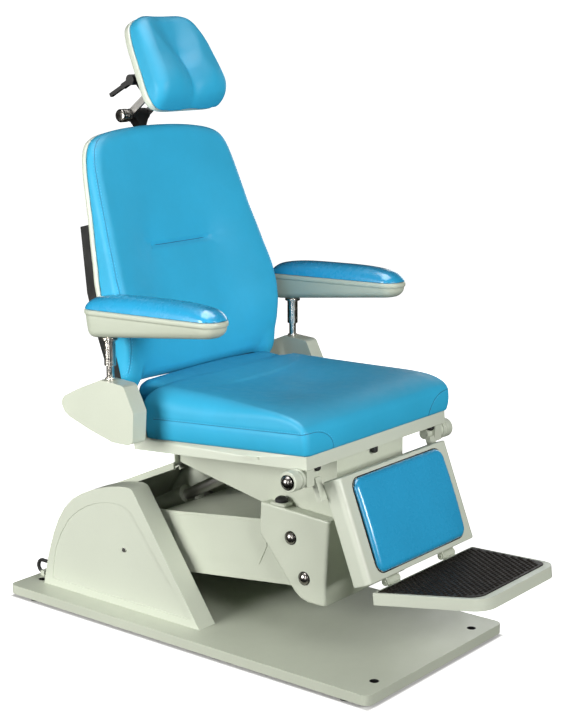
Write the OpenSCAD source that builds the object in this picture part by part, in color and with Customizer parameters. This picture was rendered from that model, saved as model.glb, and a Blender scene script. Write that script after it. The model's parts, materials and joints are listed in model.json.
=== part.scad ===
// Powered examination chair: floor plate, parallel lift arm, seat, reclining back,
// leg rest with hinged foot plate, sliding arm rests and a jointed head rest.
// Millimetres. Floor at z = 0, sitter faces -Y, sitter's right hand side is -X.

/* [Base] */
// Floor plate width
plate_w = 514; // [460:1:560]
// Floor plate length
plate_l = 1050; // [950:1:1150]
// Floor plate thickness
plate_t = 22; // [12:1:30]
// Floor plate corner radius
plate_r = 18; // [6:1:40]
// Rubber foot height
foot_h = 8; // [6:0.5:9]
// Rubber foot radius
foot_r = 18; // [12:1:25]
// Floor bolt hole diameter
floor_hole_d = 18; // [12:0.5:22]
// Floor bolt spacing across
floor_dx = 368; // [300:1:420]
// Floor bolt spacing along
floor_dy = 976; // [860:1:1000]

/* [Lift] */
// Outer half width of the side covers
cover_x = 200; // [190:1:220]
// Inner half width of the side covers
cover_in = 147; // [146:1:160]
// Half width of the lift arm
arm_x = 128; // [120:1:130]
// Lift shaft radius
shaft_r = 12; // [8:0.5:14]
// Pivot bolt radius
bolt_r = 10; // [8:0.5:12]
// Running clearance on radius
run = 0.06; // [0.02:0.01:0.1]

/* [Seat] */
// Seat frame width
seat_w = 500; // [440:1:560]
// Seat frame edge height
seat_edge = 28; // [20:1:40]
// Seat tilt, rear lower
seat_tilt = 4.2; // [0:0.1:8]
// Seat cushion width
cush_w = 522; // [460:1:560]

/* [Back] */
// Back recline from upright
back_tilt = 13.5; // [5:0.5:25]
// Back shell thickness
shell_t = 14; // [8:1:20]
// Radius of the back shell's sweep
sweep_r = 2400; // [1200:10:4000]

/* [Leg rest] */
// Leg rest angle from upright
leg_tilt = 21.2; // [5:0.1:40]
// Leg rest width
leg_w = 396; // [340:1:420]
// Leg rest height
leg_h = 222; // [180:1:260]
// Leg rest thickness
leg_t = 42; // [30:1:50]
// Foot plate width
foot_w = 372; // [320:1:420]
// Foot plate width at the front
foot_wf = 275; // [260:1:420]
// Foot plate rise to the front
foot_tilt = 6.2; // [0:0.1:12]

/* [Arm rests] */
// Arm rest post half spacing
post_x = 311; // [300:1:330]
// Arm rest post radius
post_r = 8.2; // [7:0.1:10]
// Arm rest width
rest_w = 74; // [60:1:76]

/* [Head rest] */
// Head rest recline from upright
head_tilt = 27.5; // [5:0.5:40]
// Head post width
hp_w = 18; // [14:1:24]
// Head post depth
hp_d = 24; // [18:1:30]

/* [Hidden] */
$fn = 72;
F = foot_h;
// pivots, y and z above the plate underside
P_ru = [220, 210];
P_fu = [-245, 267];
P_off = [-36, -82];
P_rl = P_ru + P_off;
P_fl = P_fu + P_off;
Q0 = [335, 165];
Q1 = [20, 335];
q_ang = atan2(Q1[1] - Q0[1], Q0[0] - Q1[0]);
q_len = norm(Q1 - Q0);
H = [161.5, 505.5];
L0 = [-344, 437];
leg_top = [-404, 435.5];
FP = [-470.5, 212];
HB = [118, 1174];
A = [320, 1122];
B = [262, 1167];
C = [297, 1202];

ivory = [0.80, 0.81, 0.73];
ivory_dark = [0.70, 0.71, 0.64];
blue = [0.13, 0.55, 0.82];
black = [0.05, 0.05, 0.05];
steel = [0.70, 0.71, 0.72];
dark = [0.30, 0.29, 0.28];

// a profile in y, z swept along x
module yz(p, x0, x1) translate([x0, 0, 0]) rotate([90, 0, 90]) linear_extrude(height = x1 - x0) polygon(p);
// a profile in x, z swept along y
module xz(p, y0, y1) translate([0, y1, 0]) rotate([90, 0, 0]) linear_extrude(height = y1 - y0) polygon(p);
module xcyl(p, r, x0, x1) translate([x0, p[0], p[1]]) rotate([0, 90, 0]) cylinder(r = r, h = x1 - x0);
// flat block with four round corners, centred in x and y
module slab(w, l, h, r) union() {
    translate([-w / 2 + r, -l / 2, 0]) cube([w - 2 * r, l, h]);
    translate([-w / 2, -l / 2 + r, 0]) cube([w, l - 2 * r, h]);
    for (sx = [-1, 1], sy = [-1, 1]) translate([sx * (w / 2 - r), sy * (l / 2 - r), 0]) cylinder(r = r, h = h);
}
module up() translate([0, 0, F]) children();
module flip() mirror([1, 0, 0]) children();
// inward shift of a closed outline
function nrm(a, b) = let (d = b - a, l = norm(d)) [-d[1] / l, d[0] / l];
function shift(p, t) = let (n = len(p)) [for (i = [0:n - 1]) let (a = nrm(p[(i + n - 1) % n], p[i]), b = nrm(p[i], p[(i + 1) % n])) p[i] + (a + b) * (t / (1 + a * b))];
// mirrored pair of half outlines [half width, height] from the bottom up
function both(h) = concat([for (q = h) [q[0], q[1]]], [for (i = [len(h) - 1:-1:0]) [-h[i][0], h[i][1]]]);

// ---------- base ----------
module base_plate() color(ivory) up() difference() {
    slab(plate_w, plate_l, plate_t, plate_r);
    for (sx = [-1, 1], sy = [-1, 1]) translate([sx * floor_dx / 2, sy * floor_dy / 2, -1]) cylinder(d = floor_hole_d, h = plate_t + 2);
}
module base_feet() color(black) for (sx = [-1, 1], sy = [-1, 1]) translate([sx * 230, sy * 456, 0]) cylinder(r = foot_r, h = foot_h);

cover_line = [[466, 22], [458, 58], [448, 95], [439, 124], [427, 156], [410, 192], [388, 224], [361, 250], [330, 268.5], [297, 283.5],
    [265, 294.5], [238, 301.8], [212, 307], [183, 310], [173, 308], [166, 303.5], [-28, 22]];
panel_line = [[436, 41], [431, 82], [422, 119], [402, 161], [377, 195], [348, 221.5], [315, 241], [283, 254], [251, 262], [222, 265],
    [196, 263.5], [181, 257], [168, 246.5], [0, 41]];
module cover() up() difference() {
    yz(cover_line, -cover_x, -cover_in);
    yz(shift(cover_line, 5), -cover_x + 5, -cover_in + 1);
    yz(panel_line, -cover_x - 1, -cover_x + 2);
    xcyl([198, 160], 3.2, -cover_x - 1, -cover_in);
}
// curved sheet that closes the base behind the lift, between the two covers
function rear_line(d) = [for (i = [0:7]) cover_line[i] + (i == 0 ? [-d, 0.1] : [-d, -0.8 * d])];
module rear_cover() color(ivory_dark) up() yz(concat(rear_line(4), [for (i = [7:-1:0]) rear_line(7)[i]]), -146.7, 146.7);
module side_cover_left() color(ivory) cover();
module side_cover_right() color(ivory) flip() cover();
module cover_screw() up() union() {
    xcyl([198, 160], 5.5, -cover_x - 0.6, -cover_x + 2);
    xcyl([198, 160], 3.2, -cover_x + 1, -cover_x + 14);
}
module cover_screws() color(steel) union() { cover_screw(); flip() cover_screw(); }

stand_line = [[150, 22], [150, 140], [192, 240], [246, 240], [350, 192], [362, 22]];
module stand() up() difference() {
    yz(stand_line, -143, -133);
    xcyl(P_ru, shaft_r, -150, -120);
    xcyl(P_rl, bolt_r, -150, -120);
    xcyl(Q0, 9, -150, -120);
}
module pivot_stands() color(ivory_dark) union() { stand(); flip() stand(); }
module rear_shafts() color(steel) up() union() {
    xcyl(P_ru, shaft_r, -143, -112);
    xcyl(P_ru, shaft_r, 112, 143);
    xcyl(P_rl, bolt_r, -143, 143);
    xcyl(Q0, 9, -143, 143);
}
module cable_gland() color(ivory) up() translate([-170, 498, 22]) cube([20, 13.9, 13]);
module rear_cable() color(black) up() translate([-160, 512, 43]) union() {
    intersection() {
        rotate([0, 90, 0]) rotate_extrude() translate([15, 0]) circle(r = 4.5);
        translate([-10, 0, -40]) cube([20, 60, 80]);
    }
    translate([0, 0.02, 15]) rotate([90, 0, 0]) cylinder(r = 4.5, h = 52.6);
}

// ---------- lift actuator ----------
module on_actuator() up() translate([0, Q0[0], Q0[1]]) rotate([-q_ang, 0, 0]) rotate([0, 0, 180]) children();
module actuator_tube() color(dark) on_actuator() difference() {
    union() {
        translate([-16, 0, 0]) rotate([0, 90, 0]) cylinder(r = 19, h = 32);
        translate([-14, 0, -15]) cube([28, 30, 30]);
        translate([0, 28, 0]) rotate([-90, 0, 0]) cylinder(r = 24, h = 145);
    }
    translate([-20, 0, 0]) rotate([0, 90, 0]) cylinder(r = 9 + run, h = 40);
    translate([0, 40, 0]) rotate([-90, 0, 0]) cylinder(r = 13 + run, h = 140);
}
module actuator_rod() color(steel) on_actuator() difference() {
    union() {
        translate([0, 44, 0]) rotate([-90, 0, 0]) cylinder(r = 13, h = q_len - 58);
        translate([-11, q_len, 0]) rotate([0, 90, 0]) cylinder(r = 18, h = 22);
    }
    translate([-20, q_len, 0]) rotate([0, 90, 0]) cylinder(r = 12.5, h = 40);
}

// ---------- lift arm ----------
arm_line = [[140, 109.3], [160, 168], [240, 192], [222, 238.6], [-245, 296.4], [-222, 240], [-222, 168], [-232, 152.6]];
module arm_side() up() difference() {
    union() {
        yz(arm_line, -arm_x, -arm_x + 6);
        xcyl(P_fu, 28, -arm_x, -arm_x + 6);
        xcyl(P_ru, 28, -arm_x, -arm_x + 6);
        yz([[54, 157], [-141, 180.5], [-163, 226], [-150, 279], [120, 245.5], [100, 170]], -arm_x - 1.5, -arm_x + 1);
    }
    xcyl(P_fu, bolt_r + run, -150, -100);
    xcyl(P_ru, shaft_r + run, -150, -100);
}
module arm_side_left() color(ivory) arm_side();
module arm_side_right() color(ivory) flip() arm_side();
module arm_top_plate() color(ivory) up() yz([[150, 243.6], [-232, 291], [-232, 286.9], [150, 239.5]], -arm_x + 6, arm_x - 6);
module arm_bottom_plate() color(ivory) up() yz([[136, 109.9], [-228, 152.3], [-228, 156.3], [136, 113.9]], -arm_x + 6, arm_x - 6);
module tie_bar(x0) up() difference() {
    union() {
        yz([[P_rl[0], P_rl[1] - 14], [P_rl[0], P_rl[1] + 14], [P_fl[0], P_fl[1] + 14], [P_fl[0], P_fl[1] - 14]], x0, x0 + 12);
        xcyl(P_rl, 17, x0, x0 + 12);
        xcyl(P_fl, 17, x0, x0 + 12);
    }
    xcyl(P_rl, bolt_r + run, x0 - 1, x0 + 13);
    xcyl(P_fl, bolt_r + run, x0 - 1, x0 + 13);
}
module tie_links() color(dark) union() { tie_bar(-112); tie_bar(100); }

// ---------- carrier ----------
carrier_line = [[-164, 331], [-347, 321], [-336, 134], [-290, 134], [-272, 139], [-256, 150], [-160, 262]];
module carrier() up() difference() {
    union() {
        yz(carrier_line, -150, -142);
        yz([[-164, 331], [-347, 321], [-347, 315], [-164, 325]], -146, -120);
    }
    xcyl(P_fu, bolt_r, -160, -140);
    xcyl(P_fl, bolt_r, -160, -140);
}
module carrier_left() color(ivory) carrier();
module carrier_right() color(ivory) flip() carrier();
module carrier_front() color(ivory) up() yz([[-347, 314.5], [-336, 134], [-330, 134], [-341, 314.8]], -142, 142);
module pivot_bolt(p, x1) up() union() {
    xcyl(p, bolt_r, -150, x1);
    xcyl(p, 16, -142, x1 == -98 ? -112.6 : -128.6);
    difference() {
        translate([-142, p[0], p[1]]) sphere(r = 17);
        translate([-150, p[0] - 40, p[1] - 40]) cube([80, 80, 80]);
    }
    xcyl(p, 14.5, -152, -150);
}
module pivot_bolts() color(dark) union() {
    pivot_bolt(P_fu, -118);
    pivot_bolt(P_fl, -98);
    flip() pivot_bolt(P_fu, -118);
    flip() pivot_bolt(P_fl, -98);
}
module dome(r, h) union() {
    cylinder(r = r, h = h - r * 0.55);
    translate([0, 0, h - r * 0.55]) intersection() {
        translate([0, 0, -r * 0.634]) sphere(r = r * 1.184);
        cylinder(r = r, h = r);
    }
}
ledge_z = 331 - (209 - 164) * 10 / 183;
module rubber_buffers() color(black) up() union() {
    for (s = [-1, 1]) translate([s * 135.5, -209, ledge_z + 7.9]) dome(14, 13);
    translate([0, -351, 455]) rotate([180, 0, 0]) dome(8, 17);
    for (x = [-206, 206]) translate([x, -357, 455.5]) rotate([180, 0, 0]) dome(8, 9.8);
}
module buffer_collars() color(ivory) up() for (s = [-1, 1]) translate([s * 135.5, -209, ledge_z + 1.5]) slab(29, 42, 6.4, 5);

// ---------- seat ----------
support_line = [[98, 367.5], [98, 422.4], [-343, 454.8], [-343, 318], [-147, 318]];
// welded from flat plates that meet edge to edge
module seat_support() color(ivory) up() {
    for (x = [-119, 114]) yz(support_line, x, x + 5);
    yz([[-338, 318], [-343, 318], [-343, 454.8], [-338, 454.4]], -113.9, 113.9);
    yz([[93, 366.6], [98, 367.5], [98, 422.4], [93, 422.7]], -113.9, 113.9);
    yz([[-147, 318], [-337.9, 318], [-337.9, 323], [-147, 323]], -113.9, 113.9);
    for (x = [-113.9, 26.1]) yz([[-146.9, 318], [-146.9, 323], [92.9, 371.5], [92.9, 366.5]], x, x + 87.8);
    yz([[-146.9, 318], [-146.9, 323], [-27, 347.2], [-27, 342.2]], -26, 26);
    difference() {
        union() {
            yz([[60, 378], [60, 424], [-20, 430], [-20, 378]], -26, 26);
            for (s = [-1, 1]) translate([s * 19.5 - 6.5, -20, 318]) cube([13, 80, 61]);
        }
        translate([-40, 42.2, 310]) cube([80, 40, 40]);
        translate([-40, -30, 310]) cube([80, 27.8, 35]);
    }
    xcyl(Q1, 6, -13, 13);
}
module rear_guard() color(ivory_dark) up() union() {
    yz([[98.1, 366], [98.1, 402], [101.1, 402], [101.1, 368.5], [330, 266.5], [330, 263]], -132, 132);
    for (x = [-138, 132]) yz([[98.1, 354], [98.1, 369.6], [330, 266.5], [330, 251]], x, x + 6);
}
// tilted frame of the seat: y from the front edge, z from its underside
module on_seat() up() translate([0, -366, 457]) rotate([-seat_tilt, 0, 0]) children();
ear_line = [[62, 446], [62, 498], [128, 531], [182, 531], [190, 505], [180, 484], [120, 440]];
module seat_frame() color(ivory) difference() {
    union() {
        on_seat() translate([-seat_w / 2, 0, 0]) cube([seat_w, 476, seat_edge]);
        on_seat() translate([-194, 470, 0]) cube([388, 32, seat_edge]);
        on_seat() translate([-254, 124, 12]) cube([6, 31, 5]);
        up() for (s = [0, 1]) mirror([s, 0, 0]) yz(ear_line, -250, -236);
    }
    up() xcyl(H, 9, -260, 260);
    up() xcyl([84, 480], 8, -260, 260);
}
seat_side = [[-8, 0.3], [-12, 16], [-11, 42], [0, 64], [33, 80], [101, 91], [181, 99], [326, 109], [419, 114], [419, 0.3]];
seat_rear = [[419, 0.3], [419, 112], [466, 112], [490, 104], [499, 88], [499, 0.3]];
module seat_cushion() color(blue) on_seat() translate([0, 0, seat_edge]) union() {
    yz(seat_side, -cush_w / 2, cush_w / 2);
    yz(seat_rear, -204, 204);
}
module back_hinge_shaft() color(steel) up() xcyl(H, 9, -300, 300);

bracket_line = [[125, 588], [64, 584], [57, 580], [31, 530], [31, 524], [35, 468], [38, 462], [50, 457], [95, 456.5], [160, 473], [222, 493],
    [238, 503], [246, 517], [245, 528], [237, 538], [193, 560]];
module bracket() up() difference() {
    yz(bracket_line, -331, -291);
    xcyl(H, 9, -301, -280);
    xcyl([84, 480], 8, -301, -280);
    translate([-post_x, 115, 540]) cylinder(r = post_r, h = 60);
}
module bracket_left() color(ivory) bracket();
module bracket_right() color(ivory) flip() bracket();
module bracket_spacers() color(steel) up() for (s = [0, 1]) mirror([s, 0, 0]) union() {
    xcyl([84, 480], 8, -301, -236);
    xcyl([84, 480], 13, -291, -250);
}
module arm_rods() color(steel) up() for (s = [-1, 1]) translate([s * post_x, 115, 540]) union() {
    cylinder(r = post_r, h = 145);
    translate([0, 0, 48.4]) cylinder(r = 11.5, h = 2.4);
}
module legrest_blocks() color(ivory) up() for (s = [0, 1]) mirror([s, 0, 0]) difference() {
    translate([-244, -361, 419]) cube([25, 34, 35]);
    xcyl(L0, 8 + run, -250, -210);
}

// ---------- leg rest ----------
module on_leg() up() translate([0, leg_top[0], leg_top[1]]) rotate([-leg_tilt, 0, 0]) children();
module legrest_panel() color(ivory) on_leg() translate([0, 0, -leg_h]) union() {
    translate([-leg_w / 2 + 14, 0, 0]) cube([leg_w - 28, leg_t, leg_h]);
    translate([-leg_w / 2, 14, 0]) cube([leg_w, leg_t - 14, leg_h]);
    for (s = [-1, 1]) translate([s * (leg_w / 2 - 14), 14, 0]) cylinder(r = 14, h = leg_h);
}
module legrest_pad() color(blue) on_leg() translate([0, -0.05, -109.6]) rotate([90, 0, 0]) slab(324, 200, 13, 20);
module legrest_lugs() color(ivory) for (s = [0, 1]) mirror([s, 0, 0]) difference() {
    union() {
        up() xcyl(L0, 11.5, -216, -198);
        on_leg() translate([-216, leg_t + 0.02, -34]) cube([18, 13, 48]);
        on_leg() translate([-199, leg_t + 0.02, -34]) cube([43, 13, 28]);
    }
    up() xcyl(L0, 8, -230, -150);
}
module legrest_stubs() color(ivory) up() for (s = [0, 1]) mirror([s, 0, 0]) union() {
    xcyl(L0, 8, -284, -198);
    xcyl(L0, 16.5, -252, -244.4);
    xcyl(L0, 21.5, -258, -250.8);
    xcyl(L0, 17.5, -264, -258);
    xcyl(L0, 21.5, -284, -264);
}
module legrest_caps() color(dark) up() for (s = [0, 1]) mirror([s, 0, 0]) union() {
    xcyl(L0, 15.5, -287, -284);
    translate([-287, L0[0], L0[1]]) rotate([0, -90, 0]) dome(13.5, 8);
}
module legrest_ears() color(ivory_dark) union() for (s = [0, 1]) mirror([s, 0, 0]) {
    for (x = [-126, -86]) {
        up() xcyl(FP, 8, x, x + 6);
        on_leg() translate([x + 0.4, 12.8, -leg_h - 13.2]) cube([5.2, 12.2, 13.1]);
    }
    up() xcyl(FP, 4, -128, -78);
}

// ---------- foot plate ----------
// y runs to the rear edge from the hinge, z from the foot plate's top
module on_foot() up() translate([0, FP[0], FP[1]]) rotate([-foot_tilt, 0, 0]) translate([0, -12, -4.2]) children();
// plate of half width a at the hinge and b at the front, with round front corners
module foot_shape(a, b, l, h, r) let (k = (a - b) / l, n = sqrt(1 + k * k), cy = -l + r, cx = a + k * cy - r * n) union() {
    linear_extrude(height = h) polygon([[-a, 0], [-cx - r / n, cy - r * k / n], [-cx, -l], [cx, -l], [cx + r / n, cy - r * k / n], [a, 0]]);
    for (s = [-1, 1]) translate([s * cx, cy, 0]) cylinder(r = r, h = h);
}
module footrest_plate() color(ivory) on_foot() difference() {
    union() {
        translate([0, 0, -25]) foot_shape(foot_w / 2, foot_wf / 2, 237, 25, 40);
        translate([-60, -196, -30]) cube([120, 150, 6]);
    }
    translate([0, -7, -1.2]) foot_shape(foot_w / 2 - 8.2, foot_wf / 2 - 6.2, 211, 3, 31);
}
module footrest_mat() color(black) on_foot() translate([0, -7.2, -1.2]) foot_shape(foot_w / 2 - 8.4, foot_wf / 2 - 6.4, 210.6, 2.8, 30.8);
module footrest_knuckles() color(ivory_dark) union() for (s = [0, 1]) mirror([s, 0, 0]) difference() {
    union() {
        up() xcyl(FP, 8, -119.6, -86.6);
        on_foot() translate([-119.1, 0.02, -18]) cube([32, 10.4, 19.2]);
    }
    up() xcyl(FP, 4 + run, -140, -70);
}

// ---------- arm rests ----------
rest_tilt = 1.4;
module on_rest() up() translate([-post_x, 115, 690]) rotate([-rest_tilt, 0, 0]) children();
module stadium(w, y0, y1, h) union() {
    translate([-w / 2, y0 + w / 2, 0]) cube([w, y1 - y0 - w, h]);
    translate([0, y0 + w / 2, 0]) cylinder(d = w, h = h);
    translate([0, y1 - w / 2, 0]) cylinder(d = w, h = h);
}
module rest_sleeve() up() difference() {
    translate([-post_x, 115, 618]) union() {
        cylinder(r = 12.5, h = 61);
        translate([0, 0, 55]) cylinder(r = 18, h = 6);
    }
    translate([-post_x, 115, 600]) cylinder(r = post_r + run, h = 100);
}
// shell with a lip along its top, deeper at the rear, and a pad on it
module rest_shell() difference() {
    on_rest() union() {
        intersection() {
            translate([0, 0, -20]) stadium(rest_w - 8, -317, 52.5, 60);
            yz([[-340, 18.7], [70, -15.3], [70, 38.5], [-340, 38.5]], -50, 50);
        }
        translate([0, 0, 37.2]) stadium(rest_w, -321, 56.5, 12.2);
    }
    up() translate([-post_x, 115, 600]) cylinder(r = 20, h = 79.4);
    up() translate([-post_x, 115, 660]) cylinder(r = post_r + 2, h = 60);
}
module rest_pad() on_rest() translate([0, 0, 49.5]) stadium(rest_w - 4, -319, 54.5, 30);
module arm_sleeve_left() color(steel) rest_sleeve();
module arm_shell_left() color(ivory) rest_shell();
module arm_pad_left() color(blue) rest_pad();
module arm_sleeve_right() color(steel) flip() rest_sleeve();
module arm_shell_right() color(ivory) flip() rest_shell();
module arm_pad_right() color(blue) flip() rest_pad();

// ---------- back ----------
// y backwards and z along the back, from the recline axis
module on_back() up() translate([0, H[0], H[1]]) rotate([-back_tilt, 0, 0]) children();
back_half = [[222, 60], [238, 63], [248, 71], [253, 84], [255, 110], [259, 146], [265, 190], [267, 220], [266, 270], [260, 312], [255, 355], [248, 402],
    [243, 450], [231, 520], [219, 553], [204, 570], [184, 580], [160, 587], [110, 595.5], [55, 599]];
cushion_half = [for (q = back_half) [q[0] - 2, 48 + (q[1] - 60) * 1.019]];
// side profile of the back cushion: depth and height
back_side = [[0, 40], [-36, 46], [-52, 62], [-69, 86], [-83, 121], [-91, 159], [-93, 200], [-91, 250], [-84, 300], [-70, 400], [-60, 500], [-52, 590], [-52, 620], [0, 620]];
module swept(d0, d1, z0, z1) difference() {
    translate([0, d1 - sweep_r, z0]) cylinder(r = sweep_r, h = z1 - z0, $fn = 1440);
    translate([0, d0 - sweep_r, z0 - 1]) cylinder(r = sweep_r, h = z1 - z0 + 2, $fn = 1440);
}
module back_shell() color(ivory) on_back() intersection() {
    swept(-6 - shell_t, -6, 40, 620);
    xz(both(back_half), -120, 40);
}
module back_cushion() color(blue) on_back() intersection() {
    translate([0, -6 - shell_t - sweep_r, 40]) cylinder(r = sweep_r, h = 580, $fn = 1440);
    xz(both(cushion_half), -120, 40);
    difference() {
        yz(back_side, -280, 280);
        translate([0, -54 - 690, 30]) cylinder(r = 690, h = 600, $fn = 1440);
    }
}
// side plate of the back, deeper behind the shell lower down
module back_bar(x0) on_back() difference() {
    union() {
        yz([[-22, 0], [-22, 403], [27, 403], [46, 258], [40, 160], [20, 9], [10, 0]], x0, x0 + 30);
        translate([x0, 0, 0]) rotate([0, 90, 0]) cylinder(r = 22, h = 30);
    }
    translate([0, -6 - sweep_r, 46]) cylinder(r = sweep_r, h = 600, $fn = 1440);
    translate([x0 - 1, -60, -60]) cube([32, 42, 110]);
    translate([x0 - 1, 0, 0]) rotate([0, 90, 0]) cylinder(r = 9 + run, h = 32);
}
module back_bar_left() color(black) back_bar(-226);
module back_bar_right() color(black) back_bar(196);
module head_guide() color(black) on_back() difference() {
    translate([-20, -5.9, 380]) cube([40, 36, 200]);
    translate([-hp_w / 2 - 0.4, -4.9, 300]) cube([hp_w + 0.8, hp_d + 0.8, 400]);
}

// ---------- head rest ----------
A_b = let (d = A - H) [d[0] * cos(back_tilt) - d[1] * sin(back_tilt), d[0] * sin(back_tilt) + d[1] * cos(back_tilt)];
module head_post() color(black) difference() {
    union() {
        on_back() translate([-hp_w / 2, -4.5, 400]) cube([hp_w, hp_d, A_b[1] - 400]);
        on_back() xz([[-23.5, A_b[1]], [-23.5, A_b[1] - 6], [-8, A_b[1] - 29], [8, A_b[1] - 29], [23.5, A_b[1] - 6], [23.5, A_b[1]]], -4, 19);
        up() xcyl(A, 15, -24, 24);
    }
    up() xcyl(A, 6 + run, -40, 40);
}
link_ang = atan2(B[1] - A[1], A[0] - B[0]);
link_len = norm(B - A);
module head_links() color(steel) up() difference() {
    union() {
        for (s = [0, 1]) mirror([s, 0, 0]) union() {
            translate([-31, A[0], A[1]]) rotate([-link_ang, 0, 0]) rotate([0, 0, 180]) translate([-6, 0, -8]) cube([6, link_len, 16]);
            xcyl(A, 11, -31.5, -24.7);
            xcyl(B, 10, -31.3, -24.6);
        }
        xcyl(A, 6, -50, 31);
    }
    xcyl(B, 5 + run, -40, 40);
}
knob_line = [[6 + run, 0], [11, 0], [11, 4], [15, 4], [15, 9], [13.6, 9.6], [13.6, 11], [15, 11.6], [15, 15], [13.6, 15.6], [13.6, 17], [15, 17.6],
    [15, 22], [13.5, 24.6], [10, 26], [0, 26.6], [0, 19], [6 + run, 19]];
module head_knob() color(dark) up() translate([-32, A[0], A[1]]) rotate([0, -90, 0]) rotate_extrude() polygon(knob_line);
module on_head() up() translate([0, HB[0], HB[1]]) rotate([-head_tilt, 0, 0]) children();
head_half = [[72, -12], [92, -9], [104, -2], [111, 8], [114.5, 24], [114.5, 42], [112, 62], [108, 100], [102, 140], [97, 161], [89.5, 179], [77, 192], [60, 200], [42, 203.5]];
B_h = let (d = B - HB) [d[0] * cos(head_tilt) - d[1] * sin(head_tilt), d[0] * sin(head_tilt) + d[1] * cos(head_tilt)];
C_h = let (d = C - HB) [d[0] * cos(head_tilt) - d[1] * sin(head_tilt), d[0] * sin(head_tilt) + d[1] * cos(head_tilt)];
module head_bracket() color(black) union() {
    on_head() yz([[72.1, 36], [86, 36], B_h + [-12, -11], B_h + [3, -12], B_h + [11, -5], C_h + [8, -11], C_h + [12, 2], C_h + [4, 12], C_h + [-14, 13], [86, 128], [72.1, 128]], -22, 22);
    on_head() translate([-40, 72.1, 36]) cube([80, 9, 92]);
    up() xcyl(B, 12, -22, 22);
    up() xcyl(B, 5, -33, 33);
    up() xcyl(C, 5, -40, -22);
}
module head_shell() color(ivory) on_head() xz(both(head_half), 54, 72);
module head_cushion() color(blue) on_head() xz(both([for (q = head_half) [q[0] - 2, 1 + q[1] * 0.99]]), 2, 53.9);
lev_ang = atan2(1165 - C[1], 367 - C[0]);
module head_lever() color(black) up() difference() {
    union() {
        xcyl(C, 12, -46, -23);
        translate([-42, C[0], C[1]]) rotate([lev_ang, 0, 0]) union() {
            translate([0, 0, -6]) cube([12, 34, 12]);
            translate([1.5, 30, -4.5]) cube([9, 48, 9]);
        }
    }
    xcyl(C, 5 + run, -40.6, -20);
}

base_plate();
base_feet();
side_cover_left();
side_cover_right();
cover_screws();
rear_cover();
pivot_stands();
rear_shafts();
cable_gland();
rear_cable();
actuator_tube();
actuator_rod();
arm_side_left();
arm_side_right();
arm_top_plate();
arm_bottom_plate();
tie_links();
carrier_left();
carrier_right();
carrier_front();
pivot_bolts();
rubber_buffers();
buffer_collars();
seat_support();
rear_guard();
seat_frame();
seat_cushion();
back_hinge_shaft();
bracket_left();
bracket_right();
bracket_spacers();
arm_rods();
legrest_blocks();
legrest_panel();
legrest_pad();
legrest_lugs();
legrest_stubs();
legrest_caps();
legrest_ears();
footrest_plate();
footrest_mat();
footrest_knuckles();
arm_sleeve_left();
arm_shell_left();
arm_pad_left();
arm_sleeve_right();
arm_shell_right();
arm_pad_right();
back_shell();
back_cushion();
back_bar_left();
back_bar_right();
head_guide();
head_post();
head_links();
head_knob();
head_bracket();
head_shell();
head_cushion();
head_lever();
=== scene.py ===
import json
import math

import bmesh
import bpy
import numpy as np
from mathutils import Matrix, Vector


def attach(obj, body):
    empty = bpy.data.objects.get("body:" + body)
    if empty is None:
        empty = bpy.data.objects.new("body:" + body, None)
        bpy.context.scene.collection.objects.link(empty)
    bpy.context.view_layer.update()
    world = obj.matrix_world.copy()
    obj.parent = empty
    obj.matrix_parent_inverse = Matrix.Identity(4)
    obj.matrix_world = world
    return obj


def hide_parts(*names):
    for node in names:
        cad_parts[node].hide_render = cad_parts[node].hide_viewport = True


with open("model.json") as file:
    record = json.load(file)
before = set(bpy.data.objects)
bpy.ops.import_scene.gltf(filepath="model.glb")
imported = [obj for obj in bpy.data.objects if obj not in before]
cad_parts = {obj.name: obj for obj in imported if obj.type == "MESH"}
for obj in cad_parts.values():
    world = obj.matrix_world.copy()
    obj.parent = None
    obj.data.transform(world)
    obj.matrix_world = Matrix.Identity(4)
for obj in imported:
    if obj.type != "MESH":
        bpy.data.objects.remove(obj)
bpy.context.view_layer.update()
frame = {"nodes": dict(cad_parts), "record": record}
NODE = frame["nodes"]
scene = bpy.context.scene

# ------------------------------------------------------------------ camera
A, E, ROLL = -0.89776, 0.21312, math.radians(-0.0725)
back = Vector((math.sin(A) * math.cos(E), -math.cos(A) * math.cos(E), math.sin(E)))
cam_data = bpy.data.cameras.new("camera")
cam = bpy.data.objects.new("camera", cam_data)
scene.collection.objects.link(cam)
cam.location = (-2.654636, -2.235466, 1.336969)
cam.rotation_mode = "QUATERNION"
cam.rotation_quaternion = (Matrix.Rotation(ROLL, 3, back) @ (-back).to_track_quat("-Z", "Y").to_matrix()).to_quaternion()
cam_data.sensor_width = 36.0
cam_data.lens = 1592.761 * 36.0 / 720.0
cam_data.shift_x = -5.155 / 720.0
cam_data.shift_y = 6.21 / 720.0
cam_data.clip_start, cam_data.clip_end = 0.1, 60.0
scene.camera = cam

# ------------------------------------------------------------------ materials
def linear(r, g, b):
    f = lambda c: c / 12.92 if c <= 0.04045 else ((c + 0.055) / 1.055) ** 2.4
    return (f(r / 255), f(g / 255), f(b / 255), 1.0)


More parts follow.
